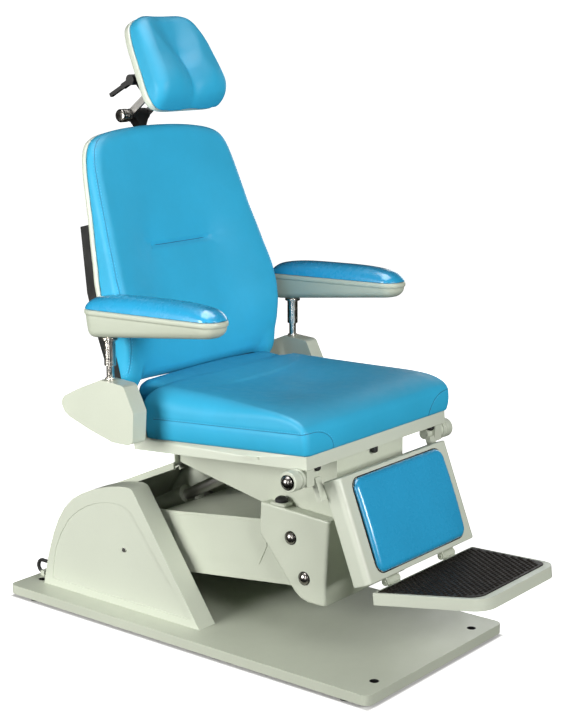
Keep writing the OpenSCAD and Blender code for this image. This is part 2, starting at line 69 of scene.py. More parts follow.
class Mat:
    """A principled material with helpers for its procedural nodes."""

    def __init__(self, name, **sockets):
        self.m = bpy.data.materials.new(name)
        self.m.use_nodes = True
        self.t = self.m.node_tree
        self.b = self.t.nodes["Principled BSDF"]
        self.co = self.t.nodes.new("ShaderNodeTexCoord")
        for k, v in sockets.items():
            self.b.inputs[k.replace("_", " ")].default_value = v

    def node(self, kind, **props):
        n = self.t.nodes.new(kind)
        for k, v in props.items():
            setattr(n, k, v)
        return n

    def link(self, a, b):
        self.t.links.new(a, b)

    def noise(self, scale, detail=3.0, rough=0.55, stretch=None):
        n = self.node("ShaderNodeTexNoise")
        n.inputs["Scale"].default_value = scale
        n.inputs["Detail"].default_value = detail
        n.inputs["Roughness"].default_value = rough
        src = self.co.outputs["Object"]
        if stretch:
            mp = self.node("ShaderNodeMapping")
            mp.inputs["Scale"].default_value = stretch
            self.link(src, mp.inputs["Vector"])
            src = mp.outputs["Vector"]
        self.link(src, n.inputs["Vector"])
        return n.outputs["Fac"]

    def cells(self, scale, feature="F1"):
        n = self.node("ShaderNodeTexVoronoi", feature=feature)
        n.inputs["Scale"].default_value = scale
        self.link(self.co.outputs["Object"], n.inputs["Vector"])
        return n.outputs["Distance"]

    def ramp(self, fac, stops):
        r = self.node("ShaderNodeValToRGB")
        el = r.color_ramp.elements
        while len(el) < len(stops):
            el.new(0.5)
        for e, (p, c) in zip(el, stops):
            e.position = p
            e.color = c
        self.link(fac, r.inputs["Fac"])
        return r.outputs["Color"]

    def remap(self, fac, lo, hi, a=0.3, b=0.7):
        n = self.node("ShaderNodeMapRange")
        n.inputs["From Min"].default_value = a
        n.inputs["From Max"].default_value = b
        n.inputs["To Min"].default_value = lo
        n.inputs["To Max"].default_value = hi
        self.link(fac, n.inputs["Value"])
        return n.outputs["Result"]

    def maths(self, op, a, b):
        n = self.node("ShaderNodeMath", operation=op)
        for i, v in enumerate((a, b)):
            if isinstance(v, (int, float)):
                n.inputs[i].default_value = v
            else:
                self.link(v, n.inputs[i])
        return n.outputs[0]

    def mix(self, fac, a, b, mode="MIX"):
        n = self.node("ShaderNodeMix", data_type="RGBA", blend_type=mode)
        for key, v in ((0, fac), (6, a), (7, b)):
            if isinstance(v, (tuple, list, int, float)):
                n.inputs[key].default_value = v
            else:
                self.link(v, n.inputs[key])
        return n.outputs[2]

    def color(self, socket):
        self.link(socket, self.b.inputs["Base Color"])
        return self

    def rough(self, socket):
        self.link(socket, self.b.inputs["Roughness"])
        return self

    def bump(self, height, strength, distance):
        n = self.node("ShaderNodeBump")
        n.inputs["Strength"].default_value = strength
        n.inputs["Distance"].default_value = distance
        last = self.b.inputs["Normal"].links
        if last:
            self.link(last[0].from_socket, n.inputs["Normal"])
        self.link(height, n.inputs["Height"])
        self.link(n.outputs["Normal"], self.b.inputs["Normal"])
        return self


def scaled(c, k):
    return (c[0] * k, c[1] * k, c[2] * k, 1.0)


def vinyl(name, base, rough, coat, grain=0.25, spec=0.34, slack=0.06):
    m = Mat(name, Coat_Weight=coat, Coat_Roughness=0.16, Specular_IOR_Level=spec)
    big = m.noise(5.0, 2.0)
    fine = m.noise(60.0, 4.0)
    col = m.ramp(big, [(0.30, scaled(base, 0.93)), (0.70, scaled(base, 1.06))])
    col = m.mix(m.remap(fine, 0.0, 0.10), col, scaled(base, 0.75))
    m.color(col)
    m.rough(m.remap(m.noise(45.0, 3.0), rough - 0.05, rough + 0.07))
    pebble = m.cells(620.0, "SMOOTH_F1")
    crease = m.cells(300.0, "DISTANCE_TO_EDGE")
    m.bump(pebble, grain, 0.00022)
    m.bump(m.remap(crease, 0.0, 1.0, 0.0, 0.08), grain * 0.55, 0.00015)
    m.bump(m.noise(22.0, 2.0), slack, 0.0012)
    return m.m


def paint(name, base, rough=0.38, coat=0.12, peel=0.10):
    m = Mat(name, Coat_Weight=coat, Coat_Roughness=0.22)
    big = m.noise(4.0, 3.0)
    speck = m.noise(240.0, 2.0)
    col = m.ramp(big, [(0.28, scaled(base, 0.95)), (0.72, scaled(base, 1.04))])
    col = m.mix(m.remap(speck, 0.0, 0.10, 0.45, 0.8), col, scaled(base, 0.80))
    m.color(col)
    m.rough(m.remap(m.noise(30.0, 3.0), rough - 0.05, rough + 0.08))
    m.bump(m.noise(330.0, 2.0), peel, 0.00020)
    m.bump(m.noise(9.0, 1.0), 0.05, 0.0010)
    return m.m


def plastic(name, base, rough=0.42):
    m = Mat(name, Coat_Weight=0.05, Coat_Roughness=0.3)
    col = m.ramp(m.noise(3.0, 2.0), [(0.3, scaled(base, 0.96)), (0.7, scaled(base, 1.03))])
    col = m.mix(m.remap(m.noise(160.0, 3.0), 0.0, 0.08, 0.5, 0.8), col, scaled(base, 0.78))
    m.color(col)
    m.rough(m.remap(m.noise(40.0, 3.0), rough - 0.06, rough + 0.07))
    m.bump(m.cells(900.0, "SMOOTH_F1"), 0.10, 0.00014)
    return m.m


def metal(name, base, rough, brushed=None, streak=0.06):
    m = Mat(name, Metallic=1.0)
    n = m.noise(120.0, 4.0, stretch=brushed) if brushed else m.noise(90.0, 4.0)
    m.color(m.ramp(n, [(0.3, scaled(base, 0.88)), (0.7, scaled(base, 1.05))]))
    m.rough(m.remap(n, max(0.02, rough - streak), rough + streak))
    m.bump(n, 0.04, 0.0002)
    return m.m


def rubber(name, base, rough=0.62, spec=0.5):
    m = Mat(name, Specular_IOR_Level=spec)
    m.color(m.ramp(m.noise(60.0, 4.0), [(0.3, scaled(base, 0.7)), (0.7, scaled(base, 1.5))]))
    m.rough(m.remap(m.noise(90.0, 3.0), rough - 0.1, rough + 0.12))
    m.bump(m.noise(700.0, 3.0), 0.15, 0.0002)
    return m.m


def ringed(name, base, rough, edge):
    """Dark polished dome whose flat ring, nearer the middle of the chair than edge, is black."""
    m = Mat(name, Metallic=1.0)
    sep = m.node("ShaderNodeSeparateXYZ")
    m.link(m.co.outputs["Object"], sep.inputs["Vector"])
    out = m.maths("GREATER_THAN", m.maths("ABSOLUTE", sep.outputs["X"], 0.0), edge)
    n = m.noise(90.0, 4.0)
    dome = m.ramp(n, [(0.3, scaled(base, 0.85)), (0.7, scaled(base, 1.1))])
    m.color(m.mix(out, (0.004, 0.004, 0.004, 1), dome))
    m.rough(m.remap(n, rough - 0.05, rough + 0.06))
    return m.m


def plate_paint(name, base):
    """Paint whose four floor holes are dark inside."""
    m = Mat(name, Coat_Weight=0.12, Coat_Roughness=0.22)
    sep = m.node("ShaderNodeSeparateXYZ")
    m.link(m.co.outputs["Object"], sep.inputs["Vector"])
    dx = m.maths("SUBTRACT", m.maths("ABSOLUTE", sep.outputs["X"], 0.0), 0.184)
    dy = m.maths("SUBTRACT", m.maths("ABSOLUTE", sep.outputs["Y"], 0.0), 0.488)
    r = m.maths("POWER", m.maths("ADD", m.maths("MULTIPLY", dx, dx), m.maths("MULTIPLY", dy, dy)), 0.5)
    hole = m.maths("LESS_THAN", r, 0.0102)
    col = m.ramp(m.noise(4.0, 3.0), [(0.28, scaled(base, 0.94)), (0.72, scaled(base, 1.04))])
    col = m.mix(m.remap(m.noise(240.0, 2.0), 0.0, 0.10, 0.45, 0.8), col, scaled(base, 0.80))
    m.color(m.mix(hole, col, (0.004, 0.004, 0.004, 1)))
    m.rough(m.remap(m.noise(30.0, 3.0), 0.34, 0.46))
    m.bump(m.noise(330.0, 2.0), 0.10, 0.00020)
    return m.m


BLUE = linear(51, 167, 209)
BLUE_G = linear(44, 160, 210)
IVORY = linear(197, 203, 188)
IVORY_P = linear(200, 206, 192)
M = {
    "blue_vinyl": vinyl("blue_vinyl", BLUE, 0.46, 0.0, spec=0.22),
    "blue_gloss": vinyl("blue_gloss_vinyl", BLUE_G, 0.26, 0.6, grain=0.03, slack=0.006),
    "ivory_paint": paint("ivory_paint", IVORY),
    "ivory_plastic": plastic("ivory_plastic", IVORY_P),
    # Painted shade: a darker copy of the ivory plastic, used on the arm shells so they read as shaded.
    "ivory_shell": plastic("ivory_plastic_painted_shade", linear(184, 191, 175)),
    "plate_paint": plate_paint("plate_paint", IVORY),
    "black_rubber": rubber("black_rubber", (0.008, 0.008, 0.008, 1)),
    "mat_rubber": rubber("mat_rubber", (0.008, 0.0058, 0.004, 1), 0.46, 0.10),
    "black_paint": paint("black_paint", (0.006, 0.006, 0.006, 1), 0.36, 0.1),
    "black_plastic": plastic("black_plastic", (0.008, 0.008, 0.008, 1), 0.42),
    "bright_chrome": metal("bright_chrome", (0.80, 0.76, 0.70, 1), 0.24),
    "dark_chrome": metal("dark_chrome", (0.20, 0.19, 0.175, 1), 0.24),
    "bolt_chrome": ringed("bolt_chrome", (0.30, 0.28, 0.26, 1), 0.24, 0.1521),
    "cap_chrome": ringed("cap_chrome", (0.20, 0.19, 0.18, 1), 0.26, 0.2871),
    "plain_steel": metal("plain_steel", (0.52, 0.51, 0.49, 1), 0.32, (1, 12, 12)),
    "dark_steel": metal("dark_steel", (0.10, 0.10, 0.10, 1), 0.45),
    # seam and gap are dark tubes that stand for the shade in creases and gaps: painted shadow.
    "seam": rubber("seam_shadow", linear(14, 84, 124), 0.7),
    "thread": rubber("thread", linear(78, 176, 216), 0.55),
    "gap": rubber("gap_shadow", (0.006, 0.006, 0.006, 1), 0.9),
}
for sub in frame["record"]["subparts"]:
    o = NODE[sub["node"]]
    o.data.materials.clear()
    o.data.materials.append(M[{"base_plate": "plate_paint", "pivot_bolts": "bolt_chrome", "legrest_caps": "cap_chrome", "footrest_mat": "mat_rubber"}.get(sub["node"], sub["material_slot"])])

# ------------------------------------------------------------------ mesh kit
def obj_from(name, verts, faces, mat, body, smooth=True):
    me = bpy.data.meshes.new(name)
    me.from_pydata([tuple(map(float, v)) for v in verts], [], [tuple(int(i) for i in f) for f in faces])
    me.update()
    me.polygons.foreach_set("use_smooth", [smooth] * len(me.polygons))
    o = bpy.data.objects.new(name, me)
    scene.collection.objects.link(o)
    me.materials.append(M[mat])
    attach(o, body)
    return o


def sst(a, b, x):
    t = np.clip((x - a) / (b - a), 0.0, 1.0)
    return t * t * (3 - 2 * t)


def rmax(a, b, r):
    """Intersection of two fields with a round edge of radius r."""
    u, v = np.maximum(a + r, 0.0), np.maximum(b + r, 0.0)
    return np.minimum(np.maximum(a, b), -r) + np.sqrt(u * u + v * v)


def rmin(a, b, r):
    return -rmax(-a, -b, r)


def bell(x, w):
    return np.exp(-((x / w) ** 2))


def loop(half, per=8):
    """Closed smooth outline from a half outline given from the bottom middle to the top middle."""
    p = np.array([(x, z) for x, z in half] + [(-x, z) for x, z in half[-2:0:-1]], float)
    n, out = len(p), []
    for i in range(n):
        p0, p1, p2, p3 = p[i - 1], p[i], p[(i + 1) % n], p[(i + 2) % n]
        t0 = 0.0
        t1 = t0 + np.linalg.norm(p1 - p0) ** 0.5
        t2 = t1 + np.linalg.norm(p2 - p1) ** 0.5
        t3 = t2 + np.linalg.norm(p3 - p2) ** 0.5
        for k in range(per):
            t = t1 + (t2 - t1) * k / per
            a1 = (t1 - t) / (t1 - t0) * p0 + (t - t0) / (t1 - t0) * p1
            a2 = (t2 - t) / (t2 - t1) * p1 + (t - t1) / (t2 - t1) * p2
            a3 = (t3 - t) / (t3 - t2) * p2 + (t - t2) / (t3 - t2) * p3
            b1 = (t2 - t) / (t2 - t0) * a1 + (t - t0) / (t2 - t0) * a2
            b2 = (t3 - t) / (t3 - t1) * a2 + (t - t1) / (t3 - t1) * a3
            out.append((t2 - t) / (t2 - t1) * b1 + (t - t1) / (t2 - t1) * b2)
    return np.array(out)


def poly(px, py, pts):
    """Signed distance to a closed outline, negative inside."""
    px, py = np.broadcast_arrays(np.asarray(px, float), np.asarray(py, float))
    d = np.full(px.shape, 1e18)
    inside = np.zeros(px.shape, bool)
    for a, b in zip(pts, np.roll(pts, -1, 0)):
        ex, ey = b - a
        wx, wy = px - a[0], py - a[1]
        t = np.clip((wx * ex + wy * ey) / (ex * ex + ey * ey), 0.0, 1.0)
        np.minimum(d, (wx - ex * t) ** 2 + (wy - ey * t) ** 2, out=d)
        if abs(ey) > 1e-12:
            inside ^= ((py >= a[1]) != (py >= b[1])) & (px < a[0] + wy * (ex / ey))
    return np.where(inside, -1.0, 1.0) * np.sqrt(d)


def nets(f, lo, hi, h):
    """Quads of the surface f = 0, with f negative inside."""
    lo = np.asarray(lo, float)
    n = np.ceil((np.asarray(hi, float) - lo) / h).astype(int) + 1
    ax = [lo[i] + h * np.arange(n[i]) for i in range(3)]
    v = np.broadcast_to(f(ax[0][:, None, None], ax[1][None, :, None], ax[2][None, None, :]), n)
    s = v < 0
    corner = [(a, b, c) for a in (0, 1) for b in (0, 1) for c in (0, 1)]
    count = sum(s[a:n[0] - 1 + a, b:n[1] - 1 + b, c:n[2] - 1 + c].astype(np.int8) for a, b, c in corner)
    act = (count > 0) & (count < 8)
    ident = np.full(act.shape, -1)
    ident[act] = np.arange(act.sum())
    cell = np.argwhere(act)
    pos, hits = np.zeros((len(cell), 3)), np.zeros(len(cell))
    for a in corner:
        for k in range(3):
            if a[k]:
                continue
            b = list(a)
            b[k] = 1
            va, vb = v[tuple((cell + a).T)], v[tuple((cell + b).T)]
            m = (va < 0) != (vb < 0)
            p = cell[m] + np.array(a, float)
            p[:, k] += va[m] / (va[m] - vb[m])
            pos[m] += p
            hits[m] += 1
    pos = lo + h * pos / hits[:, None]
    faces = []
    for k in range(3):
        i, j = (k + 1) % 3, (k + 2) % 3
        e = np.argwhere(np.diff(s.astype(np.int8), axis=k) != 0)
        e = e[(e[:, i] > 0) & (e[:, j] > 0) & (e[:, i] < n[i] - 1) & (e[:, j] < n[j] - 1)]
        q = []
        for di, dj in ((-1, -1), (0, -1), (0, 0), (-1, 0)):
            c = e.copy()
            c[:, i] += di
            c[:, j] += dj
            q.append(ident[tuple(c.T)])
        q = np.stack(q, 1)
        flip = ~s[tuple(e.T)]
        q[flip] = q[flip][:, ::-1]
        faces.append(q)
    return pos, np.concatenate(faces)


def gradient(f, p, eps=0.06):
    x, y, z = p.T
    return np.stack([f(x + eps, y, z) - f(x - eps, y, z), f(x, y + eps, z) - f(x, y - eps, z), f(x, y, z + eps) - f(x, y, z - eps)], 1) / (2 * eps)


def settle(f, p, rounds=2, limit=3.0):
    """Moves points onto the surface f = 0."""
    for _ in range(rounds):
        g = gradient(f, p)
        step = (f(*p.T) / np.maximum((g * g).sum(1), 0.1))[:, None] * g
        p = p - step * np.minimum(1.0, limit / np.maximum(np.linalg.norm(step, axis=1), 1e-9))[:, None]
    return p


def relax(p, q, rounds=2, k=0.5):
    e = np.concatenate([q[:, [0, 1]], q[:, [1, 2]], q[:, [2, 3]], q[:, [3, 0]]])
    e = np.unique(np.sort(e, 1), axis=0)
    deg = np.bincount(e.ravel(), minlength=len(p))[:, None]
    for _ in range(rounds):
        s = np.zeros_like(p)
        np.add.at(s, e[:, 0], p[e[:, 1]])
        np.add.at(s, e[:, 1], p[e[:, 0]])
        p = p + k * (s / np.maximum(deg, 1) - p)
    return p


class Place:
    """A local millimetre frame, tipped about X, as points in metres in the row frame."""

    def __init__(self, x, y, z, tilt):
        self.o = (x, y, z + 8.0)
        self.c, self.s = math.cos(math.radians(tilt)), math.sin(math.radians(tilt))

    def __call__(self, p):
        p = np.atleast_2d(np.asarray(p, float))
        y = self.o[1] + p[:, 1] * self.c + p[:, 2] * self.s
        z = self.o[2] - p[:, 1] * self.s + p[:, 2] * self.c
        return np.stack([p[:, 0] + self.o[0], y, z], 1) / 1000.0

    def turn(self, n):
        return np.stack([n[:, 0], n[:, 1] * self.c + n[:, 2] * self.s, -n[:, 1] * self.s + n[:, 2] * self.c], 1)


ON_SEAT = Place(0, -366 + 28 * math.sin(math.radians(4.2)), 457 + 28 * math.cos(math.radians(4.2)), 4.2)
ON_LEG = Place(0, -404, 435.5, 21.2)
ON_BACK = Place(0, 161.5, 505.5, 13.5)
ON_HEAD = Place(0, 118, 1174, 27.5)
FOOT_T = math.radians(6.2)
ON_FOOT = Place(0, -470.5 - 12 * math.cos(FOOT_T) - 4.2 * math.sin(FOOT_T), 212 + 12 * math.sin(FOOT_T) - 4.2 * math.cos(FOOT_T), 6.2)
ROW = Place(0, 0, 0, 0)
ON_REST = {"left": Place(-311, 115, 690, 1.4), "right": Place(311, 115, 690, 1.4)}


def skin(name, f, lo, hi, h, place, mat, body, rounds=2, even=2, sleek=False):
    p, q = nets(f, lo, hi, h)
    p = settle(f, p, 1)
    for _ in range(even):
        p = settle(f, relax(p, q, 1), 1)
    p = settle(f, p, rounds - 1)
    o = obj_from(name, place(p), q, mat, body)
    if sleek:
        g = gradient(f, p)
        g /= np.maximum(np.linalg.norm(g, axis=1), 1e-9)[:, None]
        n = np.asarray(place(p + g)) - np.asarray(place(p))
        n /= np.maximum(np.linalg.norm(n, axis=1), 1e-12)[:, None]
        o.data.normals_split_custom_set_from_vertices([tuple(map(float, v)) for v in n])
    return o


def on_surface(f, pts, rounds=4):
    p = settle(f, np.asarray(pts, float), rounds)
    g = gradient(f, p)
    return p, g / np.maximum(np.linalg.norm(g, axis=1), 1e-9)[:, None]


def resample(p, step):
    d = np.concatenate([[0], np.cumsum(np.linalg.norm(np.diff(p, axis=0), axis=1))])
    n = max(2, int(round(d[-1] / step)) + 1)
    t = np.linspace(0, d[-1], n)
    return np.stack([np.interp(t, d, p[:, i]) for i in range(3)], 1)


def tube(p, r, sides=6, up=None):
    """Vertices and quads of a tube along p, closed at both ends."""
    t = np.gradient(p, axis=0)
    t /= np.maximum(np.linalg.norm(t, axis=1), 1e-12)[:, None]
    ref = np.array([0.0, 0.0, 1.0]) if up is None else up
    a = np.cross(t, ref)
    a /= np.maximum(np.linalg.norm(a, axis=1), 1e-9)[:, None]
    b = np.cross(t, a)
    r = np.broadcast_to(r, len(p))
    ang = np.arange(sides) * 2 * math.pi / sides
    v = (p[:, None, :] + r[:, None, None] * (np.cos(ang)[None, :, None] * a[:, None, :] + np.sin(ang)[None, :, None] * b[:, None, :])).reshape(-1, 3)
    f = []
    for i in range(len(p) - 1):
        for k in range(sides):
            k2 = (k + 1) % sides
            f.append((i * sides + k, (i + 1) * sides + k, (i + 1) * sides + k2, i * sides + k2))
    f.append(tuple(range(sides)))
    f.append(tuple(len(v) - 1 - k for k in range(sides)))
    return v, f


def gather(parts):
    vs, fs, n = [], [], 0
    for v, f in parts:
        vs.append(v)
        fs += [tuple(i + n for i in q) for q in f]
        n += len(v)
    return np.concatenate(vs), fs


def seam(name, f, runs, place, body, sink=0.25, r=0.75, stitch=None):
    """A sewn line: a thin dark tube sunk in the crease as painted shadow, and a row of thread along each run of points.
    """
    crease_shadow_tubes, threads = [], []
    for pts in runs:
        p, n = on_surface(f, resample(np.asarray(pts, float), 4.0))
        w, wn = place(p - n * sink), place.turn(n)
        crease_shadow_tubes.append(tube(w, r / 1000.0, 6, wn))
        if stitch:
            side = np.cross(np.gradient(p, axis=0), n)
            side /= np.maximum(np.linalg.norm(side, axis=1), 1e-9)[:, None]
            for off in stitch:
                s, sn = on_surface(f, resample(p + side * off, 1.0))
                step, size = 7, 5
                for i in range(2, len(s) - size, step):
                    k = s[i:i + size] + sn[i:i + size] * 0.12
                    threads.append(tube(place(k), np.array([0.15, 0.5, 0.55, 0.5, 0.15]) / 1000.0, 5, place.turn(sn[i:i + size])))
    v, q = gather(crease_shadow_tubes)
    obj_from(name + "_seam", v, q, "seam", body)
    if threads:
        v, q = gather(threads)
        obj_from(name + "_thread", v, q, "thread", body)


# ------------------------------------------------------------------ seat cushion
def seat_top(x, y):
    ax = np.abs(x)
    t = 83.0 + 0.074 * y - 18.0 * np.exp(-np.maximum(y, -20.0) / 26.0)
    dish = 14.0 * sst(20, 220, y) * (1 - sst(40, 225, ax)) * (1 - sst(300, 425, y))
    slack = 0.5 * np.sin(x / 47.0 + 0.6) * np.sin(y / 61.0) * sst(40, 120, y)
    return t - dish - 2.5 * sst(205, 262, ax) + slack


def seat_field(x, y, w):
    ax = np.abs(x)
    puff = 1 - ((w - 33.0) / 36.0) ** 2
    puff = np.where(w > 33.0, 1 - 0.12 * ((w - 33.0) / 36.0) ** 2, puff)
    sag = 0.8 * np.sin((y + 40.0) / 83.0)
    side = ax - (253.2 + (7.0 + sag) * puff)
    front = -(y + 7.0 + (6.2 + 0.7 * np.cos(x / 95.0)) * puff)
    plan = rmax(rmax(side, front, 15.0), y - 437.0, 14.0)
    top = seat_top(x, y)
    r = 10.0 + 30.0 * sst(10, 330, y)
    main = rmax(plan, w - top, r)
    u, v = (y - 393.0) / 44.0, (w - top + 58.0) / 58.0
    shoulder = np.where((u > 0) & (v > 0), 46.0 * (np.sqrt(np.maximum(u, 0) ** 2 + np.maximum(v, 0) ** 2) - 1.0), -60.0)
    main = np.maximum(main, shoulder)
    plan2 = rmax(rmax(ax - 206.0, y - 499.0, 13.0), 330.0 - y, 10.0)
    rear = rmax(plan2, w - top - 0.5 + 5.0 * (ax / 204.0) ** 2 - 3.5 * bell(y - 462.0, 34.0) + 13.0 * sst(468, 502, y), 13.0)
    d = rmin(main, rear, 6.0)
    d = rmax(d, 0.4 - w, 4.0)
    belt = bell(w - 46.0, 3.4) * (1 - sst(380, 410, y)) * sst(4, 16, y)
    return d + 1.5 * belt


SEAT_LO, SEAT_HI = (-266, -18, -4), (266, 506, 126)
seat = skin("seat_cushion_cover", seat_field, SEAT_LO, SEAT_HI, 4.0, ON_SEAT, "blue_vinyl", "seat")
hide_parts("seat_cushion")
runs = []
for sx in (-1, 1):
    side = [(sx * 260, y, 46.0) for y in range(404, 8, -6)]
    corner = [(sx * (260 - 15 + 15 * math.cos(t)), 2 - 15 * math.sin(t), 46.0 + 3.0 * math.sin(t)) for t in np.linspace(0.1, math.pi / 2, 7)]
    down = [(sx * (243 - 70 * math.sin(t)), -13.0, 2.0 + 47.0 * math.cos(t)) for t in np.linspace(0.08, math.pi / 2, 18)]
    runs.append(side + corner + down)
    runs.append([(sx * 204, y, 66.0) for y in range(452, 486, 4)])
seam("seat", seat_field, runs, ON_SEAT, "seat", stitch=(-3.2,))

# ------------------------------------------------------------------ back rest
BACK_HALF = [(0, 59), (110, 59), (190, 59.2), (230, 60), (243, 63), (250, 71), (254, 85), (256, 110), (259, 146), (265, 190), (267.5, 222), (266, 270),
             (260, 312), (255, 355), (248, 402), (243, 450), (234, 520), (224, 555), (210, 575), (190, 586.5), (164, 593.5), (112, 600.5), (56, 604), (0, 605)]
BACK_LOOP = loop([(max(0, x - 30.0 * (1 - float(min(1.0, max(0.0, (z - 70) / 170.0))))) if x > 150 else x, z + (8 if z < 75 else 0)) for x, z in BACK_HALF], 6)
BACK_IN = loop([(0, 44), (186, 44), (196, 40), (203, 29), (211, 19), (223, 13), (238, 11), (247, 16), (251, 30), (252.5, 60)] + [(max(0, x - 2.5), 44.0 + (z - 59) * 1.0286) for x, z in BACK_HALF[7:]], 5)
EDGE_S = np.array([z for _, z in BACK_HALF[3:]], float)
EDGE_X = np.array([x for x, _ in BACK_HALF[3:]], float)
_s = np.arange(30.0, 640.0, 1.0)
_k = np.exp(-(np.arange(-24, 25) / 9.0) ** 2)
_k /= _k.sum()


def profile(points, mode="edge"):
    v = np.interp(_s, [a for a, _ in points], [b for _, b in points])
    return np.convolve(np.pad(v, 24, mode=mode), _k, "valid")


CREST = profile([(30, -20), (46, -36), (60, -49), (72, -59), (88, -71), (121, -86), (159, -95), (200, -97), (250, -94), (300, -87), (400, -73), (500, -62), (590, -54), (640, -50)])
MIDDLE = profile([(30, -24), (46, -38), (66, -50), (90, -58), (130, -65), (180, -70), (240, -67), (300, -60), (340, -55), (420, -54), (520, -53), (600, -51), (640, -48)])


def back_front(x, s, q):
    ax = np.abs(x)
    ex = np.interp(s, EDGE_S, EDGE_X) - ax
    mix = 1 - sst(22, 196, ex)
    mid, crest = np.interp(s, _s, MIDDLE), np.interp(s, _s, CREST)
    dx = np.maximum(ax - 94.0, 0.0)
    ds = s - 336.0
    tuck = 5.5 * bell(np.sqrt(ds * ds + dx * dx), 6.0) + 7.0 * bell(np.sqrt((ds * 0.8) ** 2 + (dx * 0.8) ** 2), 32.0)
    pucker = 0.7 * np.sin(np.arctan2(ds, dx + 6.0) * 7.0) * bell(np.sqrt(ds * ds + (dx - 14.0) ** 2), 22.0)
    toe = 17.0 * sst(196, 220, ax) * (1 - sst(46, 100, s))
    return mid + (crest - mid) * mix + tuck + pucker - toe


def back_field(x, d, s):
    q = poly(x, s, BACK_IN)
    f = rmax(q, back_front(x, s, q) - d, 24.0)
    return rmax(f, d + 20.3 + x * x / 4800.0, 4.0)


back_pad = skin("back_cushion_cover", back_field, (-276, -108, 2), (276, -14, 622), 4.0, ON_BACK, "blue_vinyl", "back")
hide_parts("back_cushion")
runs = []
for sx in (-1, 1):
    line = []
    for z in list(range(66, 560, 6)) + [566, 572, 577, 582]:
        ex = float(np.interp(z, EDGE_S, EDGE_X))
        cr = float(np.interp(z, _s, CREST))
        line.append((sx * (ex - 11.0), cr + 9.5, float(z)))
    runs.append(line)
seam("back", back_field, runs, ON_BACK, "back", sink=0.3, r=0.7, stitch=(3.2, -3.2))
seam("back_tuck", back_field, [[(x, -44.0, 336.0) for x in range(-96, 97, 4)]], ON_BACK, "back", sink=0.2, r=1.0)


def back_shell_field(x, d, s):
    q = poly(x, s, BACK_LOOP)
    sweep = x * x / 4800.0
    return rmax(rmax(q, -(d + 20.0 + sweep), 3.0), d + 6.0 + sweep, 6.0)


shell = skin("back_shell_cover", back_shell_field, (-276, -46, 40), (276, 2, 618), 4.5, ON_BACK, "ivory_plastic", "back")
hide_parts("back_shell")

# ------------------------------------------------------------------ head rest
HEAD_HALF = [(0, -8.6), (40, -8.5), (72, -8), (92, -5), (104, 1), (111, 10), (114.5, 25), (114.8, 43), (112.5, 65), (109, 102), (104.5, 142), (99.5, 167),
             (92, 187), (79, 200.5), (61, 208), (36, 211), (0, 211.5)]
HEAD_LOOP = loop(HEAD_HALF, 6)
HEAD_IN = loop([(max(0, x - 2.5), -14.6 + (z + 8.6) * 1.022) for x, z in HEAD_HALF], 6)


def head_front(x, z):
    ax = np.abs(x)
    w = 50.0 * (1 - np.exp(-np.maximum(z - 66.0, 0.0) / 50.0))
    roll = 4.0 + 11.0 * sst(116, 212, z)
    dish = (19.0 - 10.0 * sst(130, 206, z)) * sst(-30, 36, w - ax) * sst(40, 112, z)
    groove = 12.0 / (1 + (ax / 17.0) ** 2) * (1 - sst(50, 130, z)) * sst(-40, 40, z)
    lobe = 11.0 * bell(ax - 58.0, 38.0) * bell(z - 52.0, 44.0)
    under = 30.0 * np.maximum((42.0 - z) / 52.0, 0.0) ** 2
    return roll + dish + groove - lobe + under


def head_field(x, y, z):
    q = poly(x, z, HEAD_IN)
    f = rmax(q, head_front(x, z) - y, 26.0)
    return rmax(f, y - 53.8, 3.0)


head = skin("head_cushion_cover", head_field, (-122, -12, -28), (122, 60, 224), 3.2, ON_HEAD, "blue_vinyl", "headrest", even=3)
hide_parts("head_cushion")


def head_shell_field(x, y, z):
    q = poly(x, z, HEAD_LOOP)
    return rmax(rmax(q, 54.0 - y, 2.5), y - 72.0, 6.0)


hs = skin("head_shell_cover", head_shell_field, (-122, 48, -22), (122, 78, 220), 3.2, ON_HEAD, "ivory_plastic", "headrest")
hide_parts("head_shell")

# ------------------------------------------------------------------ arm rests
def stadium(x, y, r, y0, y1):
    t = np.clip(y, y0 + r, y1 - r)
    return np.sqrt(x * x + (y - t) ** 2) - r


def rest_pad_field(x, y, z):
    m = np.maximum(1.0 + stadium(x, y, 36.0, -320.0, 55.5) / 36.0, 0.0)
    t = np.clip(np.where(y > -110, (y + 110) / 168.5, (-y - 160) / 163.0), 0.0, 0.985)
    high = 34.0 * (1 - t ** 2.5) ** 0.4
    u = (z - 46.0) / (high + 3.4)
    dome = 30.0 * (np.sqrt(np.abs(m) ** 2.3 + np.abs(u) ** 2.3 + 1e-9) ** 0.87 - 1.0)
    return rmax(dome, 49.6 - z, 1.5)


def rest_shell_field(x, y, z):
    lip = rmax(rmax(stadium(x, y, 37.2, -321.2, 56.7), z - 49.6, 4.0), 38.2 - z, 3.0)
    low = -9.5 - 0.083 * y
    k = np.clip((37.0 - z) / np.maximum(37.0 - low, 10.0), 0, 1)
    taper = 5.0 * k ** 1.6
    body = rmax(rmax(stadium(x, y, 34.2 - taper, -318.0 + 1.3 * taper, 53.5 - 1.3 * taper), low - z, 15.0), z - 40.0, 1.0)
    return rmin(lip, body, 0.6)


for side in ("left", "right"):
    pad = skin(f"arm_pad_cover_{side}", rest_pad_field, (-42, -338, 44), (42, 68, 92), 2.8, ON_REST[side], "blue_gloss", f"armrest_{side}", sleek=True)
    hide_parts(f"arm_pad_{side}")
    sh = skin(f"arm_shell_cover_{side}", rest_shell_field, (-42, -338, -22), (42, 68, 56), 2.6, ON_REST[side], "ivory_shell", f"armrest_{side}")
    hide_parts(f"arm_shell_{side}")

# ------------------------------------------------------------------ leg rest pad
def round_box(x, z, hx, hz, r):
    a, b = np.abs(x) - hx + r, np.abs(z) - hz + r
    return np.minimum(np.maximum(a, b), 0) + np.sqrt(np.maximum(a, 0) ** 2 + np.maximum(b, 0) ** 2) - r


